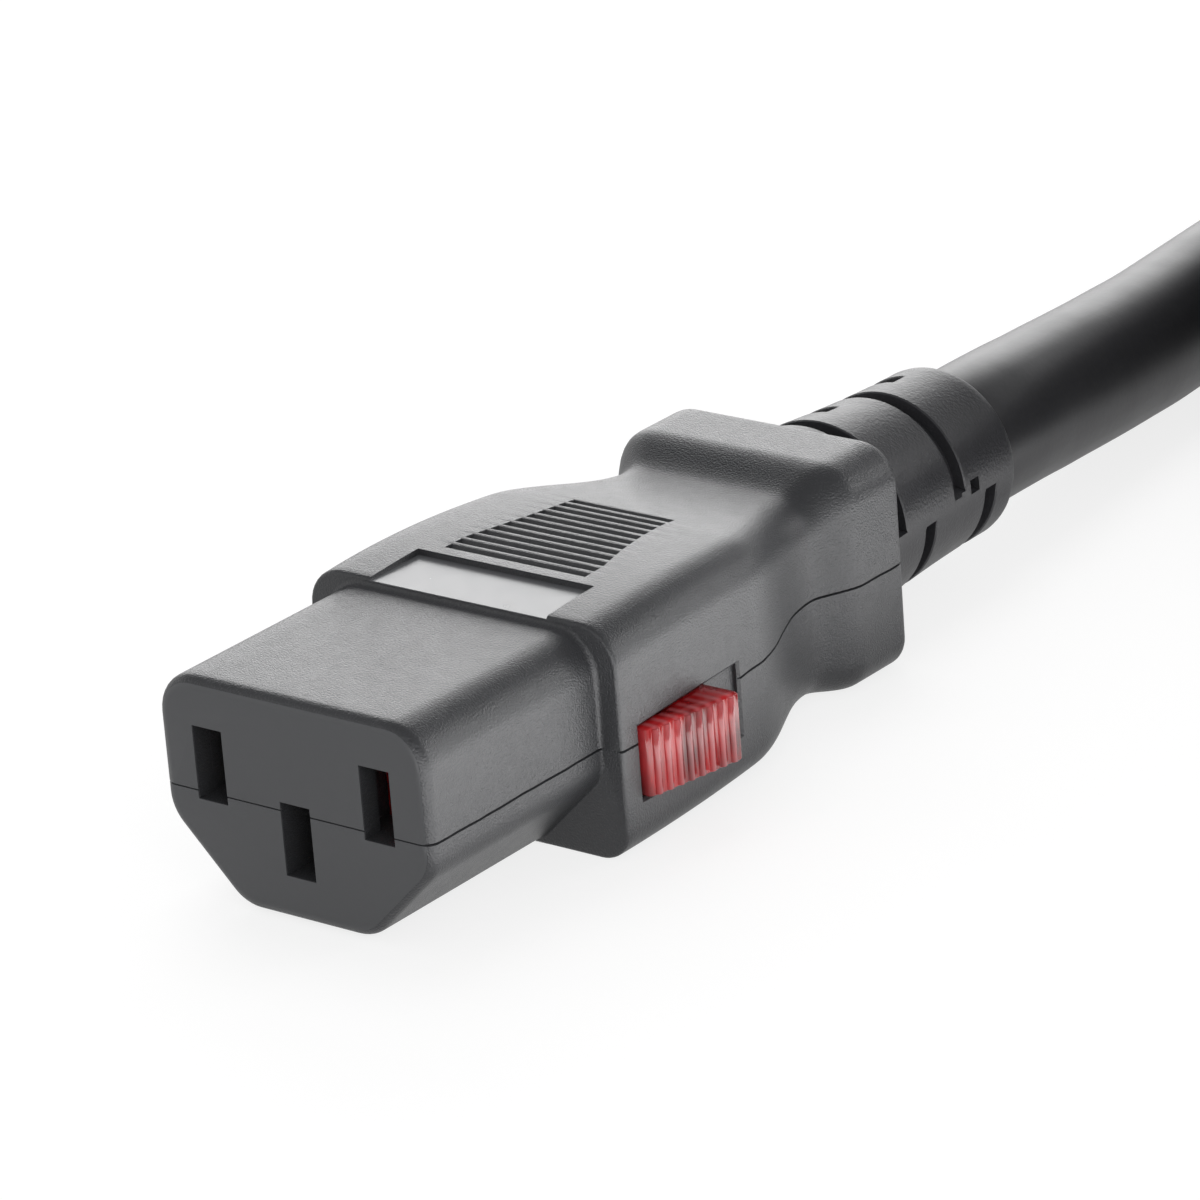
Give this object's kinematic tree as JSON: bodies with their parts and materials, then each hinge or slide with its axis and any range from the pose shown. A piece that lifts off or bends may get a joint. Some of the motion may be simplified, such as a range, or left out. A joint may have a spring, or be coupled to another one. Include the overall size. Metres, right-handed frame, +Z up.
{
  "type": "c13 power connector",
  "caption": "Locking C13 power connector with red release sliders in its sides, a slotted strain relief, and a coiled lead that ends in a C14 plug.",
  "frame": {"origin": "under the middle of the connector, on the surface that it rests on, half-way between its mating face and the end of its strain relief", "axes": "+X across the connector to its right as seen from behind the mating face, +Y from the mating face towards the cord, +Z up, away from the earth pin's side"},
  "size_m": [0.1584, 0.2226, 0.0237],
  "materials": {
    "shell_plastic": "fine-grained charcoal moulding, satin",
    "slider_plastic": "slightly translucent red moulding",
    "relief_plastic": "soft charcoal overmoulding",
    "jacket": "smooth black jacket with a soft gloss",
    "contact_brass": "bright pressed sheet",
    "spring_steel": "drawn wire and ground sheet",
    "blade_nickel": "nickel plate",
    "core_black": "black insulation",
    "core_white": "white insulation",
    "core_green": "green insulation",
    "tie_strap": "woven black strap",
    "plug_plastic": "charcoal overmoulding"
  },
  "bodies": {
    "housing": {"upper_shell": "shell_plastic", "lower_shell": "shell_plastic", "line_contact": "contact_brass", "neutral_contact": "contact_brass", "earth_contact": "contact_brass", "line_core": "core_black", "neutral_core": "core_white", "earth_core": "core_green", "left_slider_spring": "spring_steel", "right_slider_spring": "spring_steel", "left_grip_pin": "spring_steel", "right_grip_pin": "spring_steel", "strain_relief": "relief_plastic", "cord_jacket_end": "jacket", "cord": "jacket", "cord_coil": "jacket", "front_cord_tie": "tie_strap", "rear_cord_tie": "tie_strap", "cord_tail": "jacket", "plug_body": "plug_plastic", "plug_insert": "plug_plastic", "plug_line_blade": "blade_nickel", "plug_neutral_blade": "blade_nickel", "plug_earth_blade": "blade_nickel"},
    "left_slider": {"left_release_slider": "slider_plastic"},
    "right_slider": {"right_release_slider": "slider_plastic"},
    "left_grip": {"left_lock_grip": "spring_steel"},
    "right_grip": {"right_lock_grip": "spring_steel"}
  },
  "joints": [
    {"name": "left_release_slide", "type": "slide", "parent": "housing", "child": "left_slider", "axis": [0, 1, 0], "range_m": [0, 0.0035], "stiffness_N_per_m": 600, "springref_m": -0.002, "deforming": ["left_slider_spring"]},
    {"name": "right_release_slide", "type": "slide", "parent": "housing", "child": "right_slider", "axis": [0, 1, 0], "range_m": [0, 0.0035], "stiffness_N_per_m": 600, "springref_m": -0.002, "deforming": ["right_slider_spring"]},
    {"name": "left_grip_hinge", "type": "hinge", "parent": "housing", "child": "left_grip", "pos_m": [-0.00475, -0.0275, 0.009], "axis": [0, 0, 1], "range_deg": [-10, 0]},
    {"name": "right_grip_hinge", "type": "hinge", "parent": "housing", "child": "right_grip", "pos_m": [0.00475, -0.0275, 0.009], "axis": [0, 0, 1], "range_deg": [0, 10]}
  ],
  "couplings": [
    {"joint": "right_grip_hinge", "follows": "right_release_slide", "rad_per_m": 49.866},
    {"joint": "left_grip_hinge", "follows": "left_release_slide", "rad_per_m": -49.866}
  ]
}
